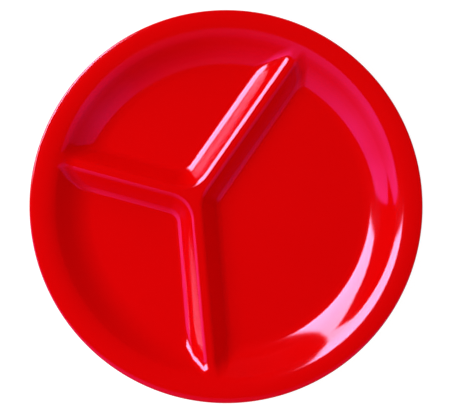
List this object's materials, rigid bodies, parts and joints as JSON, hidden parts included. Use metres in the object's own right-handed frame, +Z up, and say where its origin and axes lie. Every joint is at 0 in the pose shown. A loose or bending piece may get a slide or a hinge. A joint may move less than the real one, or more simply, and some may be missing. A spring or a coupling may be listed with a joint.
{
  "type": "divided compartment plate",
  "caption": "Round moulded plate with a narrow rounded brim, a sloping wall and a hollow raised divider that parts it into a large well and smaller wells for separate foods.",
  "frame": {"origin": "centre of the plate at the plane that its feet stand on", "axes": "+Z up along the plate's axis, +Y along the divider arm between the two small wells, +X to the right of that arm seen from above"},
  "size_m": [0.26, 0.26, 0.022],
  "materials": {
    "glossy_melamine": "high gloss moulded melamine with fine wear",
    "worn_foot": "moulded melamine, rubbed satin where it stands"
  },
  "bodies": {
    "root": {"front_floor": "glossy_melamine", "left_floor": "glossy_melamine", "right_floor": "glossy_melamine", "front_wall": "glossy_melamine", "left_wall": "glossy_melamine", "right_wall": "glossy_melamine", "back_arm": "glossy_melamine", "left_arm": "glossy_melamine", "right_arm": "glossy_melamine", "shoulder": "glossy_melamine", "brim": "glossy_melamine", "outer_lip": "glossy_melamine", "front_foot": "worn_foot", "left_foot": "worn_foot", "right_foot": "worn_foot"}
  },
  "joints": []
}
